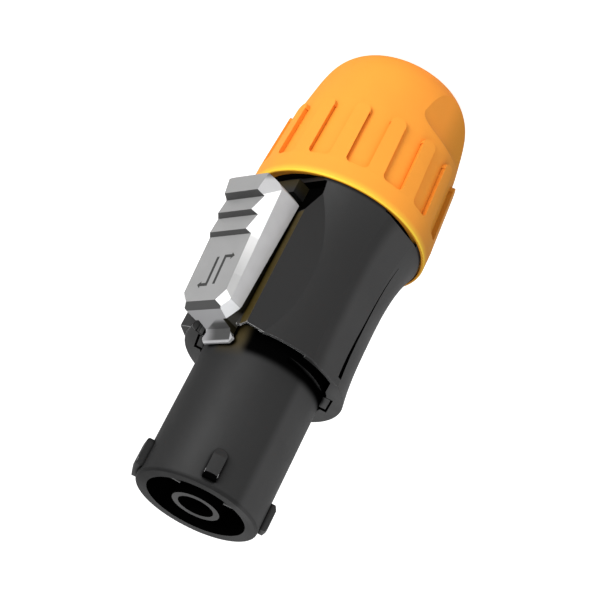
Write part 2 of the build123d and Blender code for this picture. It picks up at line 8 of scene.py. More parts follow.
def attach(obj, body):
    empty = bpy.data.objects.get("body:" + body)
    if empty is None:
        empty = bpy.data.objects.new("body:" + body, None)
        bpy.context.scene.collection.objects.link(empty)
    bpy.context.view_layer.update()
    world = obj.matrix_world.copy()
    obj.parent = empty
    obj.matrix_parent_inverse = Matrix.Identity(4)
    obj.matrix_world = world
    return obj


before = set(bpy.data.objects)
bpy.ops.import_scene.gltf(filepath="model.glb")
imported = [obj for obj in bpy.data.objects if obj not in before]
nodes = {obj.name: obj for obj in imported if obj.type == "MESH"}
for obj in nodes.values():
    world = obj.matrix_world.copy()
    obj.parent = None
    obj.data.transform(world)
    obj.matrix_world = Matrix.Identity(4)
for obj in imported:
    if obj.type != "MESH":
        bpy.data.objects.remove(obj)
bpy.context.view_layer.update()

# Lengths are metres. The connector stands on the rear face of its bushing, mating face up,
# with its latch on the -Y side.
MM = 0.001

# Camera, fitted to the outlines in the photograph, which shows the connector nose down
CAMERA_PLACE = (-0.20350, -0.15587, 0.17433)
CAMERA_TURN = (-60.183, 23.689, 140.422)
CAMERA_LENS = 109.52
SENSOR = 36.0
NEAR_CLIP = 0.01
FAR_CLIP = 20

# Light: a soft lamp on the latch side, a weaker one from above, and a bright room
AIM = (0, 0, 0.04)
KEY_PLACE = (-0.10, -0.50, 0.12)
KEY_SIZE = 0.25
KEY_POWER = 2.1
FILL_PLACE = (-0.35, 0.15, 0.45)
FILL_SIZE = 0.4
FILL_POWER = 0.8
ROOM_LIGHT = 0.5
WHITE = (1, 1, 1, 1)

# Floor
FLOOR_HALF = 1.5
FLOOR_WHITE = (0.9, 0.9, 0.9, 1)
FLOOR_GLOW = 0.75

# Levels and radii of the CAD that the finishes follow
BARREL_R = 10.0 * MM
CAVITY_R = 8.07 * MM
RECESS_R = 13.15 * MM
RECESS_Z = 51.4 * MM
SHOULDER_Z = 29.8 * MM
POCKET_Z = 36.0 * MM
POCKET_HALF = 8.5 * MM
CHANNEL_FLOOR = 11.0 * MM
RAIL_FLANK = 12.05 * MM
COLLAR_Z = 57.5 * MM
FRONT_Z = 81.8 * MM
NUT_Z = 29.5 * MM
NUT_LIP_R = 15.0 * MM
NECK_R = 12.3 * MM
STOP_Z = 31.4 * MM
EDGE_SOFT = 0.02 * MM

# Directions round the axis, in degrees, of the parts painted lighter and darker as light and
# shade
SHEEN_TURN = -235
BACK_TURN = 30
GLOW_TURN = -104
DARK_TURN = -174
KEY_TURN = -142
LOW_TURN = -60
NUT_DARK_TURN = 125
NUT_LIT_TURN = -140

# Slopes of surface that tell one face from another, as the two ends of a smooth step.
# A slope is one part of the surface's own normal.
OUTWARD = 0.5
UPWARD = 0.5
SLOPE_SOFT = 0.05
FRONT_FACE = (0.6, 0.7)
KEY_FACE = (0.3, 0.4)
CHANNEL_FACE = (-0.99, -0.97)
LIP_FACE = (-0.96, -0.9)
ROLLED_LIP = (0.15, 0.6)
LIP_MOUTH = (0.85, 0.97)
LATCH_FLANK = (0.9, 0.97)
BEVEL_ACROSS = (0.35, 0.45)
BEVEL_OUT = (0.5, 0.55)
BEVEL_FRONT = (0.25, 0.4)
RIM_ACROSS = (0.84, 0.87)
RIM_OUT = (0.3, 0.35)
RIM_END = (0.44, 0.5)
STEP_FRONT = (0.45, 0.6)
CORNER_FRONT = (0.3, 0.5)
CORNER_ACROSS = (0.4, 0.5)
UNDER_ACROSS = (0.3, 0.5)
FLAT_ACROSS = 0.3
CORNER_OUT = 0.4
NOSE_ACROSS = 0.45
NOSE_SOFT = 0.1

# Gaps painted black as shade, and the edges that stand free, painted as highlights
WIDE_GAP = 3 * MM
WIDE_SHARES = (0.15, 0.6)
FINE_GAP = 0.9 * MM
FINE_SHARES = (0.55, 0.95)
FINE_DARK = 0.9
LINE_WIDTH = 0.13 * MM
LINE_REACH = 2 * MM

# Barrel: the painted shadow on its foot behind the collar, and its front
FOOT_SHADOW = (1.4 * MM, 3.2 * MM)
GLOW_LENGTH = 4 * MM
KEY_ZONE = 2 * MM
KEY_CORNER = 1.4 * MM
DULL_FROM = 0.7 * MM
DULL_TO = 0.2 * MM
DULL_GLOSS = 0.4
TURNED_GLOSS = 0.4

# Place beside the nose where the channel's edge catches light, painted as a pale highlight
BESIDE_X = (2.4 * MM, 5 * MM)
BESIDE_LEVEL = (10.3 * MM, 12.3 * MM)
BESIDE_Z = 50 * MM

# Bushing: painted shade on the rib walls, creases and turned side, painted highlight on the lip
CLEAR_Z = 4 * MM
CLEAR_SOFT = 1.5 * MM
WALL_REACH = 2 * MM
WALL_SHARES = (0.45, 0.95)
CREASE_REACH = 0.3 * MM
CREASE_SHARES = (0.45, 0.75)
CREASE_DARK = 0.6
LIP_DEPTH = 0.6 * MM
BAND_FROM = 1.4 * MM
BAND_TO = 0.2 * MM
BAND_SHARE = 0.5
UNLIT_SHARE = 0.3

# Latch: levels outward from the axis, heights along it, and the leans of slanted limits
BEVEL_DIM_Z = 44.3 * MM
BEVEL_PALE_Z = 51.3 * MM
RIM_FROM = 19.2 * MM
RIM_TO = 20.7 * MM
RIM_LEAN = 0.76
STEP_LEVEL = 15.4 * MM
CORNER_LEVEL = 13.3 * MM
SKIRT_LEVEL = 10.98 * MM
SKIRT_LEAN = 0.041
NOSE_Z = 56.75 * MM
DISH_SLANT = 12.75 * MM
DISH_LEAN = 0.56
DISH_LEVEL = 13.0 * MM
DISH_FADE = (0.2 * MM, 3.4 * MM)
DISH_FADED = 0.25
DISH_EDGE = -2.8 * MM
DISH_Z = 59 * MM

# Grain and clouding: size of the clouds, range of shade and of roughness, grain and its depth
GRAIN_DETAIL = 3
MOULD_GLOSS = 0.37
MOULD_CLOUD = 6 * MM
MOULD_SHADE = (0.94, 1.06)
MOULD_ROUGH = (0.54, 0.64)
MOULD_GRAIN = 0.18 * MM
MOULD_DEPTH = 0.006 * MM
NUT_GLOSS = 0.1
NUT_CLOUD = 9 * MM
NUT_SHADE = (0.98, 1.02)
NUT_ROUGH = (0.55, 0.65)
NUT_GRAIN = 0.22 * MM
NUT_DEPTH = 0.004 * MM
LATCH_GLOSS = 0.35
LATCH_CLOUD = 3 * MM
LATCH_TINT = (0.97, 1.03)
LATCH_ROUGH = (0.38, 0.52)
LATCH_GRAIN = 0.12 * MM
LATCH_DEPTH = 0.002 * MM
METAL = 0.9
ZINC_CLOUD = 0.5 * MM
ZINC_ROUGH = (0.28, 0.45)
BRASS_CLOUD = 0.6 * MM
BRASS_ROUGH = (0.25, 0.4)
RUBBER_GLOSS = 0.05
RUBBER_ROUGH = 0.8
RUBBER_GRAIN = 0.3 * MM
RUBBER_DEPTH = 0.01 * MM

# Thread on the neck
THREAD_LOW = 12.6 * MM
THREAD_HIGH = 25.6 * MM
THREAD_PITCH = 2.0 * MM
THREAD_RISE = 0.2 * MM
THREAD_STEPS = 64
THREAD_HALF = 0.6 * MM
THREAD_ROOT = 0.05 * MM
THREAD_RUN_OUT = 4

# Arrow mark on the latch, dark as the painted shade of an engraved mark
MARK_Z = 50.6 * MM
MARK_HALF = 2.5 * MM
MARK_OFFSET = 0.8 * MM
MARK_SHIFT = -0.35 * MM
MARK_LINE = 0.26 * MM
MARK_NECK = 2.1 * MM
MARK_TIP = 2.8 * MM
MARK_HEAD = 0.6 * MM
MARK_PROUD = 0.02 * MM
MARK_SUNK = 0.1 * MM
MARK_GLOSS = 0.3
MARK_ROUGH = 0.6
MARK_GRAIN = 0.1 * MM
MARK_DEPTH = 0.003 * MM

# Colours
HOUSING_GREY = (0.0105, 0.0105, 0.0107)
PAINTED_SHEEN_GREY = (0.036, 0.036, 0.0365)
EDGE_HIGHLIGHT = (0.45, 0.45, 0.45)
PALE_HIGHLIGHT = (0.1, 0.1, 0.1)
BLACK = (0.001, 0.001, 0.001)
OLIVE_REFLECTION = (0.04, 0.026, 0.0)
STOP_OLIVE = (0.022, 0.017, 0.005)
ORANGE = (0.93, 0.35, 0.045)
WALL_SHADE_ORANGE = (0.9, 0.29, 0.03)
TURNED_SHADE_ORANGE = (0.6, 0.245, 0.027)
CREASE_SHADE_BROWN = (0.45, 0.13, 0.012)
LIP_HIGHLIGHT_YELLOW = (1.0, 0.68, 0.06)
MOUTH_SHADE_ORANGE = (0.62, 0.24, 0.012)
LATCH_LAND = (0.27, 0.27, 0.27)
LATCH_SIDE_LIT = (0.55, 0.55, 0.56)
LATCH_HIGHLIGHT = (0.97, 0.97, 0.97)
LATCH_DIM_HIGHLIGHT = (0.66, 0.66, 0.66)
LATCH_FADED_HIGHLIGHT = (0.42, 0.42, 0.42)
LATCH_CORNER_HIGHLIGHT = (0.85, 0.86, 0.88)
NOSE_SHADE_GREY = (0.36, 0.36, 0.37)
LATCH_SHADE = (0.05, 0.05, 0.05)
LATCH_RIM_SHADE = (0.1, 0.1, 0.1)
LATCH_UNDER_SHADE = (0.012, 0.01, 0.004)
MARK_SHADE_GREY = (0.03, 0.03, 0.03)
ZINC = (0.55, 0.55, 0.56)
BRASS = (0.72, 0.6, 0.36)


def add_object(name, data):
    """New object in the scene."""
    thing = bpy.data.objects.new(name, data)
    bpy.context.scene.collection.objects.link(thing)
    return thing


def make_camera():
    """Camera at the photograph's place and angle."""
    lens = bpy.data.cameras.new("camera")
    lens.lens = CAMERA_LENS
    lens.sensor_width = SENSOR
    lens.clip_start = NEAR_CLIP
    lens.clip_end = FAR_CLIP
    eye = add_object("camera", lens)
    eye.location = CAMERA_PLACE
    eye.rotation_euler = [radians(turn) for turn in CAMERA_TURN]
    bpy.context.scene.camera = eye


def area_light(name, place, size, strength):
    """Square soft light that looks at the middle of the connector."""
    data = bpy.data.lights.new(name, "AREA")
    data.size = size
    data.energy = strength
    lamp = add_object(name, data)
    lamp.location = place
    aim = Vector(AIM) - Vector(place)
    lamp.rotation_euler = aim.to_track_quat("-Z", "Y").to_euler()


def make_world():
    """White backdrop for the camera and for reflections, dimmer light on matt surfaces."""
    world = bpy.data.worlds.new("studio")
    bpy.context.scene.world = world
    world.use_nodes = True
    tree = world.node_tree
    tree.nodes.clear()
    path = tree.nodes.new("ShaderNodeLightPath")
    seen = tree.nodes.new("ShaderNodeMath")
    seen.operation = "MAXIMUM"
    clear = tree.nodes.new("ShaderNodeMath")
    clear.operation = "MAXIMUM"
    tree.links.new(path.outputs["Is Camera Ray"], seen.inputs[0])
    tree.links.new(path.outputs["Is Glossy Ray"], seen.inputs[1])
    tree.links.new(seen.outputs[0], clear.inputs[0])
    tree.links.new(path.outputs["Is Transmission Ray"], clear.inputs[1])
    room = tree.nodes.new("ShaderNodeBackground")
    room.inputs["Color"].default_value = WHITE
    room.inputs["Strength"].default_value = ROOM_LIGHT
    white = tree.nodes.new("ShaderNodeBackground")
    white.inputs["Color"].default_value = WHITE
    white.inputs["Strength"].default_value = 1
    mix = tree.nodes.new("ShaderNodeMixShader")
    out = tree.nodes.new("ShaderNodeOutputWorld")
    tree.links.new(clear.outputs[0], mix.inputs["Fac"])
    tree.links.new(room.outputs[0], mix.inputs[1])
    tree.links.new(white.outputs[0], mix.inputs[2])
    tree.links.new(mix.outputs[0], out.inputs["Surface"])


def make_floor():
    """Pale floor that keeps a soft shadow and otherwise shows white."""
    half = FLOOR_HALF
    mesh = bpy.data.meshes.new("floor")
    corners = [(-half, -half, 0), (half, -half, 0), (half, half, 0), (-half, half, 0)]
    mesh.from_pydata(corners, [], [(0, 1, 2, 3)])
    floor = add_object("floor", mesh)
    material = bpy.data.materials.new("floor")
    material.use_nodes = True
    tree = material.node_tree
    tree.nodes.clear()
    matt = tree.nodes.new("ShaderNodeBsdfDiffuse")
    matt.inputs["Color"].default_value = FLOOR_WHITE
    glow = tree.nodes.new("ShaderNodeEmission")
    path = tree.nodes.new("ShaderNodeLightPath")
    share = tree.nodes.new("ShaderNodeMath")
    share.operation = "MULTIPLY"
    share.inputs[1].default_value = FLOOR_GLOW
    tree.links.new(path.outputs["Is Camera Ray"], share.inputs[0])
    tree.links.new(share.outputs[0], glow.inputs["Strength"])
    both = tree.nodes.new("ShaderNodeAddShader")
    out = tree.nodes.new("ShaderNodeOutputMaterial")
    tree.links.new(matt.outputs[0], both.inputs[0])
    tree.links.new(glow.outputs[0], both.inputs[1])
    tree.links.new(both.outputs[0], out.inputs["Surface"])
    mesh.materials.append(material)


class Finish:
    """Material of one kind of piece, built up from noise and from masks in object space."""

    def __init__(self, name, color, gloss=0.5, roughness=0.5, metallic=0.0):
        self.material = bpy.data.materials.new(name)
        self.material.use_nodes = True
        self.tree = self.material.node_tree
        self.tree.nodes.clear()
        self.shader = self.new("BsdfPrincipled")
        self.shader.inputs["Metallic"].default_value = metallic
        self.shader.inputs["Roughness"].default_value = roughness
        out = self.new("OutputMaterial")
        self.link(self.shader.outputs[0], out.inputs["Surface"])
        self.place = self.new("TexCoord").outputs["Object"]
        self.color = color
        self.gloss = gloss
        self.bump = None

    def new(self, kind):
        """New node of the material."""
        return self.tree.nodes.new("ShaderNode" + kind)

    def link(self, source, target):
        """Feeds a socket from another node, or sets it where the source is a plain value."""
        if isinstance(source, tuple):
            target.default_value = (*source, 1)
        elif isinstance(source, (int, float)):
            target.default_value = source
        else:
            self.tree.links.new(source, target)

    def noise(self, size, detail=2.0):
        """Noise whose features are about the given size in metres."""
        node = self.new("TexNoise")
        node.inputs["Scale"].default_value = 1 / size
        node.inputs["Detail"].default_value = detail
        self.link(self.place, node.inputs["Vector"])
        return node.outputs["Fac"]

    def ramp(self, value, low, high, out_low=0.0, out_high=1.0):
        """Smooth step of a value between two levels."""
        node = self.new("MapRange")
        node.interpolation_type = "SMOOTHSTEP"
        node.inputs["From Min"].default_value = low
        node.inputs["From Max"].default_value = high
        node.inputs["To Min"].default_value = out_low
        node.inputs["To Max"].default_value = out_high
        self.link(value, node.inputs["Value"])
        return node.outputs[0]

    def fade(self, value, low, high, share=1.0):
        """Smooth step down between two levels, from a share to nothing."""
        return self.ramp(value, low, high, share, 0.0)

    def math(self, kind, first, second=0.0):
        """Sum of two values, or another operation on them."""
        node = self.new("Math")
        node.operation = kind
        self.link(first, node.inputs[0])
        self.link(second, node.inputs[1])
        return node.outputs[0]

    def all_of(self, *masks):
        """Product of masks."""
        product = masks[0]
        for mask in masks[1:]:
            product = self.math("MULTIPLY", product, mask)
        return product

    def either(self, first, second):
        """The stronger of two masks."""
        return self.math("MAXIMUM", first, second)

    def rest_of(self, mask):
        """What a mask leaves over."""
        return self.math("SUBTRACT", 1.0, mask)

    def above(self, value, level, soft=0.05 * MM):
        """Mask of values above a level."""
        return self.ramp(value, level - soft, level + soft)

    def below(self, value, level, soft=0.05 * MM):
        """Mask of values below a level."""
        return self.fade(value, level - soft, level + soft)

    def axis(self, letter):
        """One coordinate of the shaded point, in metres."""
        node = self.new("SeparateXYZ")
        self.link(self.place, node.inputs[0])
        return node.outputs[letter]

    def radius(self):
        """Distance of the shaded point from the axis of the connector."""
        node = self.new("VectorMath")
        node.operation = "MULTIPLY"
        self.link(self.place, node.inputs[0])
        node.inputs[1].default_value = (1, 1, 0)
        length = self.new("VectorMath")
        length.operation = "LENGTH"
        self.link(node.outputs[0], length.inputs[0])
        return length.outputs["Value"]

    def outward(self):
        """How far the surface's own normal points away from the axis, -1 to 1."""
        node = self.new("VectorMath")
        node.operation = "DOT_PRODUCT"
        self.link(self.place, node.inputs[0])
        self.link(self.new("NewGeometry").outputs["True Normal"], node.inputs[1])
        upright = self.math("MULTIPLY", self.axis("Z"), self.facing("Z"))
        level = self.math("SUBTRACT", node.outputs["Value"], upright)
        return self.math("DIVIDE", level, self.radius())

    def toward(self, angle):
        """Cosine between the shaded point's direction from the axis and an angle."""
        node = self.new("VectorMath")
        node.operation = "DOT_PRODUCT"
        self.link(self.place, node.inputs[0])
        node.inputs[1].default_value = (cos(radians(angle)), sin(radians(angle)), 0)
        return self.math("DIVIDE", node.outputs["Value"], self.radius())

    def facing(self, letter):
        """One component of the surface's own normal."""
        node = self.new("SeparateXYZ")
        self.link(self.new("NewGeometry").outputs["True Normal"], node.inputs[0])
        return node.outputs[letter]

    def open_sky(self, reach):
        """Share of the surroundings that is open within a distance, 1 where nothing is near."""
        node = self.new("AmbientOcclusion")
        node.samples = 8
        node.inputs["Distance"].default_value = reach
        return node.outputs["AO"]

    def edge_line(self, width, reach):
        """Mask of sharp edges that stand free."""
        bevel = self.new("Bevel")
        bevel.samples = 12
        bevel.inputs["Radius"].default_value = width
        dot = self.new("VectorMath")
        dot.operation = "DOT_PRODUCT"
        self.link(bevel.outputs[0], dot.inputs[0])
        self.link(self.new("NewGeometry").outputs["True Normal"], dot.inputs[1])
        sharp = self.fade(dot.outputs["Value"], 0.9, 0.985)
        return self.all_of(sharp, self.ramp(self.open_sky(reach), 0.55, 0.85))

    def layer(self, mask, color):
        """Mixes another colour over what is there."""
        node = self.new("Mix")
        node.data_type = "RGBA"
        colors = [socket for socket in node.inputs if socket.type == "RGBA"]
        self.link(mask, node.inputs["Factor"])
        self.link(self.color, colors[0])
        self.link(color, colors[1])
        self.color = [socket for socket in node.outputs if socket.type == "RGBA"][0]

    def paint_black_shade(self, mask):
        """Paints black shade and takes gloss away, as deep in a gap."""
        self.layer(mask, BLACK)
        self.gloss = self.math("MULTIPLY", self.gloss, self.fade(mask, 0.0, 1.0))

    def shade(self, value, low, high):
        """Varies the brightness of the colour with a 0 to 1 value."""
        node = self.new("HueSaturation")
        self.link(self.ramp(value, 0.3, 0.7, low, high), node.inputs["Value"])
        self.link(self.color, node.inputs["Color"])
        self.color = node.outputs[0]

    def relief(self, height, depth):
        """Adds a bump of the given depth in metres."""
        node = self.new("Bump")
        node.inputs["Distance"].default_value = depth
        self.link(height, node.inputs["Height"])
        if self.bump is not None:
            self.link(self.bump, node.inputs["Normal"])
        self.bump = node.outputs[0]

    def rough(self, value, low, high):
        """Roughness that follows a 0 to 1 value."""
        self.link(self.ramp(value, 0.3, 0.7, low, high), self.shader.inputs["Roughness"])

    def dress(self, *names):
        """Completes the material and puts it on CAD nodes."""
        self.link(self.color, self.shader.inputs["Base Color"])
        self.link(self.gloss, self.shader.inputs["Specular IOR Level"])
        if self.bump is not None:
            self.link(self.bump, self.shader.inputs["Normal"])
        for name in names:
            for slot in nodes[name].material_slots:
                slot.material = self.material
        return self.material


def moulded(name):
    """Dark moulded plastic with a fine spark-eroded grain."""
    finish = Finish(name, HOUSING_GREY, MOULD_GLOSS)
    cloud = finish.noise(MOULD_CLOUD)
    finish.shade(cloud, *MOULD_SHADE)
    finish.rough(cloud, *MOULD_ROUGH)
    finish.relief(finish.noise(MOULD_GRAIN, GRAIN_DETAIL), MOULD_DEPTH)
    return finish


def hollow_shade_masks(finish):
    """Masks of the housing's recess, latch pocket, cavity and rear, black in the photograph."""
    height = finish.axis("Z")
    radius = finish.radius()
    outward = finish.outward()
    upward = finish.facing("Z")
    level = finish.math("MULTIPLY", finish.axis("Y"), -1)
    across = finish.math("ABSOLUTE", finish.axis("X"))
    inward = finish.below(outward, OUTWARD, SLOPE_SOFT)
    front = finish.either(finish.below(upward, UPWARD, SLOPE_SOFT),
                          finish.below(height, COLLAR_Z - 0.5 * MM))
    recess = finish.all_of(
        inward, front, finish.below(radius, RECESS_R), finish.above(radius, BARREL_R),
        finish.above(height, RECESS_Z - 2 * MM), finish.below(height, COLLAR_Z - 0.06 * MM))
    floor = finish.all_of(finish.below(level, CHANNEL_FLOOR),
                          finish.fade(finish.facing("Y"), *CHANNEL_FACE))
    pocket = finish.all_of(
        finish.either(inward, floor), finish.above(level, CHANNEL_FLOOR - MM),
        finish.below(across, POCKET_HALF), finish.below(height, POCKET_Z))
    walls = finish.either(finish.below(upward, UPWARD, SLOPE_SOFT),
                          finish.below(height, FRONT_Z - MM))
    cavity = finish.all_of(finish.below(radius, CAVITY_R + 0.03 * MM, EDGE_SOFT), walls,
                           finish.above(height, COLLAR_Z))
    return recess, pocket, cavity, finish.below(height, NUT_Z - MM)


def dress_housing():
    """Dark moulding with painted sheen, painted black shade in its hollows and gaps, a painted
    olive reflection on the channel's lip, and painted highlights on free edges.
    """
    finish = moulded("black_moulding")
    height = finish.axis("Z")
    radius = finish.radius()
    sideways = finish.axis("X")
    level = finish.math("MULTIPLY", finish.axis("Y"), -1)
    on_barrel = finish.all_of(finish.below(radius, BARREL_R + 0.1 * MM),
                              finish.above(finish.outward(), OUTWARD, SLOPE_SOFT),
                              finish.above(height, RECESS_Z - MM))
    # Painted sheen: lighter grey towards two directions round the axis.
    painted_sheen = finish.either(finish.ramp(finish.toward(SHEEN_TURN), 0.45, 0.6),
                          finish.ramp(finish.toward(BACK_TURN), -0.1, 0.5))
    finish.layer(painted_sheen, PAINTED_SHEEN_GREY)
    # Painted olive reflection on one lip of the channel and on the barrel just in front of the
    # collar.
    lip = finish.all_of(
        finish.fade(finish.facing("Y"), *LIP_FACE), finish.above(height, POCKET_Z),
        finish.below(height, COLLAR_Z + 0.1 * MM), finish.above(level, RAIL_FLANK),
        finish.below(sideways, 0))
    glow = finish.all_of(on_barrel, finish.ramp(finish.toward(GLOW_TURN), 0.95, 0.99),
                         finish.fade(height, COLLAR_Z, COLLAR_Z + GLOW_LENGTH))
    finish.layer(finish.either(lip, glow), OLIVE_REFLECTION)
    # Painted black shade in gaps and hollows where the surroundings close in, except on the skin
    # next to the bushing.
    skin = finish.all_of(finish.below(height, SHOULDER_Z + 2 * MM),
                         finish.above(finish.outward(), OUTWARD, SLOPE_SOFT))
    free = finish.rest_of(skin)
    wide = finish.fade(finish.open_sky(WIDE_GAP), *WIDE_SHARES)
    finish.paint_black_shade(finish.all_of(free, wide))
    fine = finish.fade(finish.open_sky(FINE_GAP), *FINE_SHARES, FINE_DARK)
    finish.paint_black_shade(finish.all_of(free, fine))
    # Painted shadow on the barrel's foot in front of the collar, on one side.
    finish.paint_black_shade(finish.all_of(
        on_barrel, finish.ramp(finish.toward(DARK_TURN), 0.44, 0.62),
        finish.fade(height, *[COLLAR_Z + rise for rise in FOOT_SHADOW])))
    # Painted black shade in the recess, latch pocket, cavity and under the bushing.
    for hollow in hollow_shade_masks(finish):
        finish.paint_black_shade(hollow)
    # Painted shadow on the front faces of the keys on one side.
    key_front_shadow = finish.all_of(finish.above(radius, BARREL_R + 0.05 * MM, EDGE_SOFT),
                              finish.ramp(finish.facing("Z"), *KEY_FACE),
                              finish.above(height, FRONT_Z - KEY_ZONE),
                              finish.ramp(finish.toward(KEY_TURN), 0.9, 0.95))
    finish.paint_black_shade(key_front_shadow)
    # Painted highlight lines on the free edges of the collar and of the keys.
    collar = finish.all_of(finish.above(height, COLLAR_Z - 0.4 * MM),
                           finish.below(height, COLLAR_Z + 0.4 * MM),
                           finish.above(radius, RECESS_R - 0.5 * MM))
    key_edge = finish.all_of(finish.above(height, FRONT_Z - KEY_ZONE),
                             finish.below(height, FRONT_Z - KEY_CORNER),
                             finish.above(radius, BARREL_R + 0.2 * MM))
    finish.layer(finish.all_of(finish.edge_line(LINE_WIDTH, LINE_REACH),
                               finish.either(collar, key_edge)), EDGE_HIGHLIGHT)
    finish.gloss = finish.math("MULTIPLY", finish.gloss, finish.ramp(
        height, FRONT_Z - DULL_FROM, FRONT_Z - DULL_TO, 1.0, DULL_GLOSS))
    turned = finish.all_of(finish.ramp(finish.toward(LOW_TURN), 0.45, 0.95, 0.0, TURNED_GLOSS),
                           finish.above(height, COLLAR_Z + 2 * MM, MM))
    finish.gloss = finish.math("MULTIPLY", finish.gloss, finish.rest_of(turned))
    # Painted pale highlight beside the nose.
    beside_nose = finish.all_of(
        finish.above(sideways, BESIDE_X[0]), finish.below(sideways, BESIDE_X[1]),
        finish.above(height, BESIDE_Z), finish.below(height, COLLAR_Z - 0.1 * MM),
        finish.above(level, BESIDE_LEVEL[0]), finish.below(level, BESIDE_LEVEL[1]))
    finish.layer(beside_nose, PALE_HIGHLIGHT)
    # Painted pale highlight on the lips of the cavity.
    lips = finish.all_of(finish.below(radius, CAVITY_R - 0.05 * MM, EDGE_SOFT),
                         finish.above(height, FRONT_Z - 0.5 * MM))
    finish.layer(lips, PALE_HIGHLIGHT)
    finish.dress("housing")


def dress_insert():
    """Dark carrier, of which only the front ring of the spigot catches light, painted as sheen
    while the rest is painted black as shade; stop and clamp.
    """
    finish = moulded("black_insert")
    ring = finish.all_of(finish.above(finish.axis("Z"), FRONT_Z - 0.3 * MM),
                         finish.ramp(finish.facing("Z"), *FRONT_FACE))
    # Painted black shade over all but the front ring, which is painted lighter as sheen.
    finish.paint_black_shade(finish.rest_of(ring))
    finish.layer(ring, PAINTED_SHEEN_GREY)
    finish.dress("contact_insert")
    stop = moulded("stop_moulding")
    stop.layer(stop.below(stop.axis("Z"), STOP_Z, 0.8 * MM), STOP_OLIVE)
    stop.dress("latch_stop")
    moulded("black_clamp").dress("cable_clamp")


def dress_bushing():
    """Orange moulding with painted shade, deeper on its rib walls, brown in its creases and
    darker on the side turned away, and a painted yellow highlight along the rolled lip.
    """
    finish = Finish("orange_moulding", ORANGE, NUT_GLOSS)
    cloud = finish.noise(NUT_CLOUD)
    finish.shade(cloud, *NUT_SHADE)
    height = finish.axis("Z")
    clear = finish.above(height, CLEAR_Z, CLEAR_SOFT)
    # Painted shade: deeper orange on the rib walls and brown in the creases, where the
    # surroundings close in.
    walls = finish.fade(finish.open_sky(WALL_REACH), *WALL_SHARES)
    finish.layer(finish.all_of(clear, walls), WALL_SHADE_ORANGE)
    crease_shade = finish.fade(finish.open_sky(CREASE_REACH), *CREASE_SHARES, CREASE_DARK)
    finish.layer(finish.all_of(clear, crease_shade), CREASE_SHADE_BROWN)
    # Painted shade on the side turned away from the light.
    finish.layer(finish.ramp(finish.toward(NUT_DARK_TURN), 0.6, 0.95), TURNED_SHADE_ORANGE)
    # Painted highlight: yellow along the lip on the lit side; painted shade: darker orange at the
    # lip's mouth.
    at_lip = finish.all_of(finish.above(height, NUT_Z - LIP_DEPTH),
                           finish.above(finish.radius(), NUT_LIP_R))
    upward = finish.facing("Z")
    lit = finish.ramp(finish.toward(NUT_LIT_TURN), -0.1, 0.8, UNLIT_SHARE, 1.0)
    highlight_band = finish.ramp(height, NUT_Z - BAND_FROM, NUT_Z - BAND_TO, 0.0, BAND_SHARE)
    finish.layer(finish.all_of(highlight_band, lit), LIP_HIGHLIGHT_YELLOW)
    finish.layer(finish.all_of(at_lip, finish.ramp(upward, *ROLLED_LIP), lit), LIP_HIGHLIGHT_YELLOW)
    finish.layer(finish.all_of(at_lip, finish.ramp(upward, *LIP_MOUTH)), MOUTH_SHADE_ORANGE)
    finish.rough(cloud, *NUT_ROUGH)
    finish.relief(finish.noise(NUT_GRAIN, GRAIN_DETAIL), NUT_DEPTH)
    finish.dress("gland_nut")


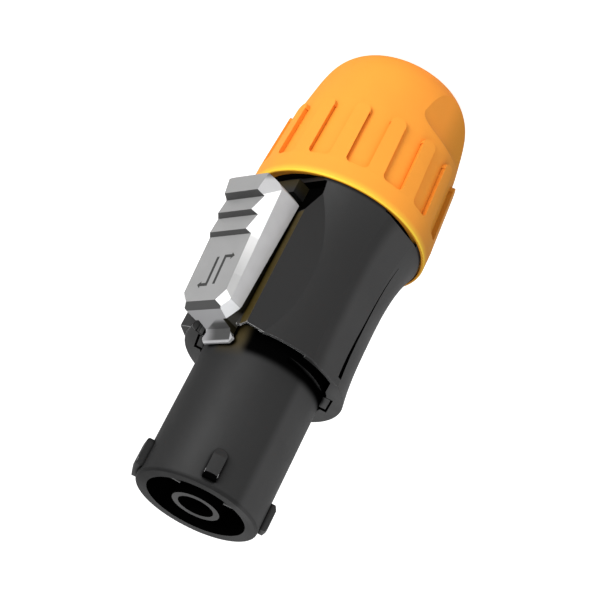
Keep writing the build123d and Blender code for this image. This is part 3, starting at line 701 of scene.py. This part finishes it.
def dress_latch():
    """Satin die casting with light and shade painted by facing: painted highlights on the flanks,
    the bevels, which fade forwards, and the front corners, and painted shade on the rim, the
    steps, under the skirt and on the nose.
    """
    finish = Finish("satin_die_casting", LATCH_LAND, LATCH_GLOSS)
    across = finish.math("ABSOLUTE", finish.facing("X"))
    outward = finish.math("MULTIPLY", finish.facing("Y"), -1)
    forward = finish.facing("Z")
    height = finish.axis("Z")
    sideways = finish.axis("X")
    level = finish.math("MULTIPLY", finish.axis("Y"), -1)
    # Painted light on the flanks.
    finish.layer(finish.ramp(across, *LATCH_FLANK), LATCH_SIDE_LIT)
    # Painted highlight on the bevels, dimmer and paler towards the front.
    bevel = finish.all_of(finish.ramp(across, *BEVEL_ACROSS), finish.ramp(outward, *BEVEL_OUT))
    finish.layer(bevel, LATCH_HIGHLIGHT)
    satin = finish.above(height, BEVEL_DIM_Z, 0.5 * MM)
    finish.layer(finish.all_of(bevel, satin), LATCH_DIM_HIGHLIGHT)
    paler = finish.ramp(height, BEVEL_DIM_Z, BEVEL_PALE_Z, 0.0, 0.8)
    finish.layer(finish.all_of(bevel, paler), LATCH_FADED_HIGHLIGHT)
    palest = finish.above(height, BEVEL_PALE_Z, 0.1 * MM)
    finish.layer(finish.all_of(bevel, palest), LATCH_FADED_HIGHLIGHT)
    # Painted highlight again where the bevels face forwards.
    finish.layer(finish.all_of(bevel, finish.ramp(forward, *BEVEL_FRONT)), LATCH_HIGHLIGHT)
    # Painted shade on the rim, with painted light further along it.
    rim = finish.all_of(finish.ramp(across, *RIM_ACROSS), finish.ramp(outward, *RIM_OUT),
                        finish.fade(outward, *RIM_END))
    finish.layer(rim, LATCH_RIM_SHADE)
    along = finish.math("SUBTRACT", height, finish.math("MULTIPLY", level, RIM_LEAN))
    lighter = finish.ramp(along, RIM_FROM, RIM_TO, 0.0, 0.9)
    finish.layer(finish.all_of(rim, lighter), LATCH_SIDE_LIT)
    # Painted shade on the step faces.
    steps = finish.all_of(finish.ramp(forward, *STEP_FRONT),
                          finish.below(across, FLAT_ACROSS, SLOPE_SOFT),
                          finish.above(level, STEP_LEVEL))
    finish.layer(steps, LATCH_SHADE)
    # Painted highlight on the front corner facets.
    corner = finish.all_of(
        finish.ramp(forward, *CORNER_FRONT), finish.ramp(across, *CORNER_ACROSS),
        finish.below(outward, CORNER_OUT, SLOPE_SOFT), finish.above(level, CORNER_LEVEL))
    finish.layer(corner, LATCH_CORNER_HIGHLIGHT)
    # Painted shade under the skirt at the sides.
    skirt = finish.math("SUBTRACT", level, finish.math("MULTIPLY", height, SKIRT_LEAN))
    under = finish.all_of(finish.ramp(across, *UNDER_ACROSS), finish.below(skirt, SKIRT_LEVEL),
                          finish.below(height, COLLAR_Z + 0.3 * MM))
    finish.layer(under, LATCH_UNDER_SHADE)
    # Painted shade on the nose, darker in its dish.
    nose = finish.all_of(finish.above(height, NOSE_Z), finish.below(level, STEP_LEVEL),
                         finish.below(across, NOSE_ACROSS, NOSE_SOFT))
    finish.layer(nose, NOSE_SHADE_GREY)
    slant = finish.math("ADD", level, finish.math("MULTIPLY", sideways, DISH_LEAN))
    dish = finish.all_of(
        nose, finish.below(slant, DISH_SLANT, 0.15 * MM),
        finish.below(level, DISH_LEVEL, 0.6 * MM),
        finish.ramp(sideways, *DISH_FADE, 1.0, DISH_FADED), finish.above(sideways, DISH_EDGE),
        finish.below(height, DISH_Z, 0.1 * MM))
    finish.layer(dish, LATCH_SHADE)
    cloud = finish.noise(LATCH_CLOUD, GRAIN_DETAIL)
    finish.shade(cloud, *LATCH_TINT)
    finish.rough(cloud, *LATCH_ROUGH)
    finish.relief(finish.noise(LATCH_GRAIN), LATCH_DEPTH)
    finish.dress("latch")


def dress_metals():
    """Zinc plated steel of the spring and screws, and the brass contacts."""
    steel = Finish("zinc_plate", ZINC, metallic=METAL)
    steel.rough(steel.noise(ZINC_CLOUD, GRAIN_DETAIL), *ZINC_ROUGH)
    steel.dress("latch_spring", *[n for n in nodes if n.startswith(("terminal_", "clamp_plate"))])
    brass = Finish("plated_brass", BRASS, metallic=METAL)
    brass.rough(brass.noise(BRASS_CLOUD, GRAIN_DETAIL), *BRASS_ROUGH)
    brass.dress(*[n for n in nodes if n.startswith("contact_") and n != "contact_insert"])


def dress_rubber():
    """Matt black of the seals."""
    finish = Finish("black_rubber", BLACK, RUBBER_GLOSS, RUBBER_ROUGH)
    finish.relief(finish.noise(RUBBER_GRAIN, GRAIN_DETAIL), RUBBER_DEPTH)
    finish.dress("front_seal", "insert_seal", "neck_seal", "cable_seal")


def solid_piece(name, points, faces, material, body):
    """Closed mesh that moves with a body."""
    mesh = bpy.data.meshes.new(name)
    mesh.from_pydata(points, [], faces)
    mesh.materials.append(material)
    piece = add_object(name, mesh)
    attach(piece, body)
    return piece


def make_thread():
    """Thread of the neck, a low ridge that the bushing hides while it is done up."""
    finish = moulded("neck_thread")
    material = finish.dress()
    count = round((THREAD_HIGH - THREAD_LOW) / THREAD_PITCH * THREAD_STEPS)
    root = NECK_R - THREAD_ROOT
    points = []
    for i in range(count + 1):
        angle = 2 * pi * i / THREAD_STEPS
        level = THREAD_LOW + THREAD_PITCH * i / THREAD_STEPS
        from_end = min(i, count - i) / THREAD_STEPS
        run_out = min(1, THREAD_RUN_OUT * from_end)
        crest = NECK_R + THREAD_RISE * run_out
        for radius, shift in ((root, -THREAD_HALF), (crest, 0), (root, THREAD_HALF)):
            points.append((radius * cos(angle), radius * sin(angle), level + shift))
    faces = [(0, 1, 2), (3 * count + 2, 3 * count + 1, 3 * count)]
    for i in range(count):
        for side in range(3):
            after = (side + 1) % 3
            faces.append((3 * i + side, 3 * i + 3 + side, 3 * i + 3 + after, 3 * i + after))
    solid_piece("neck_thread", points, faces, material, "housing")


def arrow_outline():
    """One bent arrow, as (across, along) points about the middle of the mark."""
    shaft = MARK_OFFSET
    bend = -MARK_HALF
    return [(shaft - MARK_LINE, MARK_HALF), (shaft - MARK_LINE, bend - MARK_LINE),
            (MARK_NECK, bend - MARK_LINE), (MARK_NECK, bend - MARK_HEAD), (MARK_TIP, bend),
            (MARK_NECK, bend + MARK_HEAD), (MARK_NECK, bend + MARK_LINE),
            (shaft + MARK_LINE, bend + MARK_LINE), (shaft + MARK_LINE, MARK_HALF)]


def make_mark():
    """Two opposite arrows let into the flat of the latch."""
    # Painted shade: the arrows are dark as the shade in engraved grooves.
    finish = Finish("mark_groove_shade", MARK_SHADE_GREY, MARK_GLOSS, MARK_ROUGH)
    finish.relief(finish.noise(MARK_GRAIN), MARK_DEPTH)
    material = finish.dress()
    mesh = nodes["latch"].data
    skin = BVHTree.FromPolygons([corner.co for corner in mesh.vertices],
                                [face.vertices for face in mesh.polygons])
    for number, way in enumerate((1, -1)):
        points = []
        outline = arrow_outline()
        for lift in (MARK_PROUD, -MARK_SUNK):
            for across, along in outline:
                x = MARK_SHIFT - way * across
                z = MARK_Z + way * along
                hit = skin.ray_cast(Vector((x, -0.05, z)), Vector((0, 1, 0)))[0]
                points.append((x, hit.y - lift, z))
        size = len(outline)
        faces = [tuple(range(size)), tuple(reversed(range(size, 2 * size)))]
        faces += [(i, i + size, (i + 1) % size + size, (i + 1) % size) for i in range(size)]
        solid_piece("arrow_%d" % (number + 1), points, faces, material, "latch")


make_camera()
make_world()
make_floor()
area_light("key", KEY_PLACE, KEY_SIZE, KEY_POWER)
area_light("fill", FILL_PLACE, FILL_SIZE, FILL_POWER)
dress_housing()
dress_insert()
dress_bushing()
dress_latch()
dress_metals()
dress_rubber()
make_thread()
make_mark()
bpy.context.scene.view_settings.view_transform = "Standard"
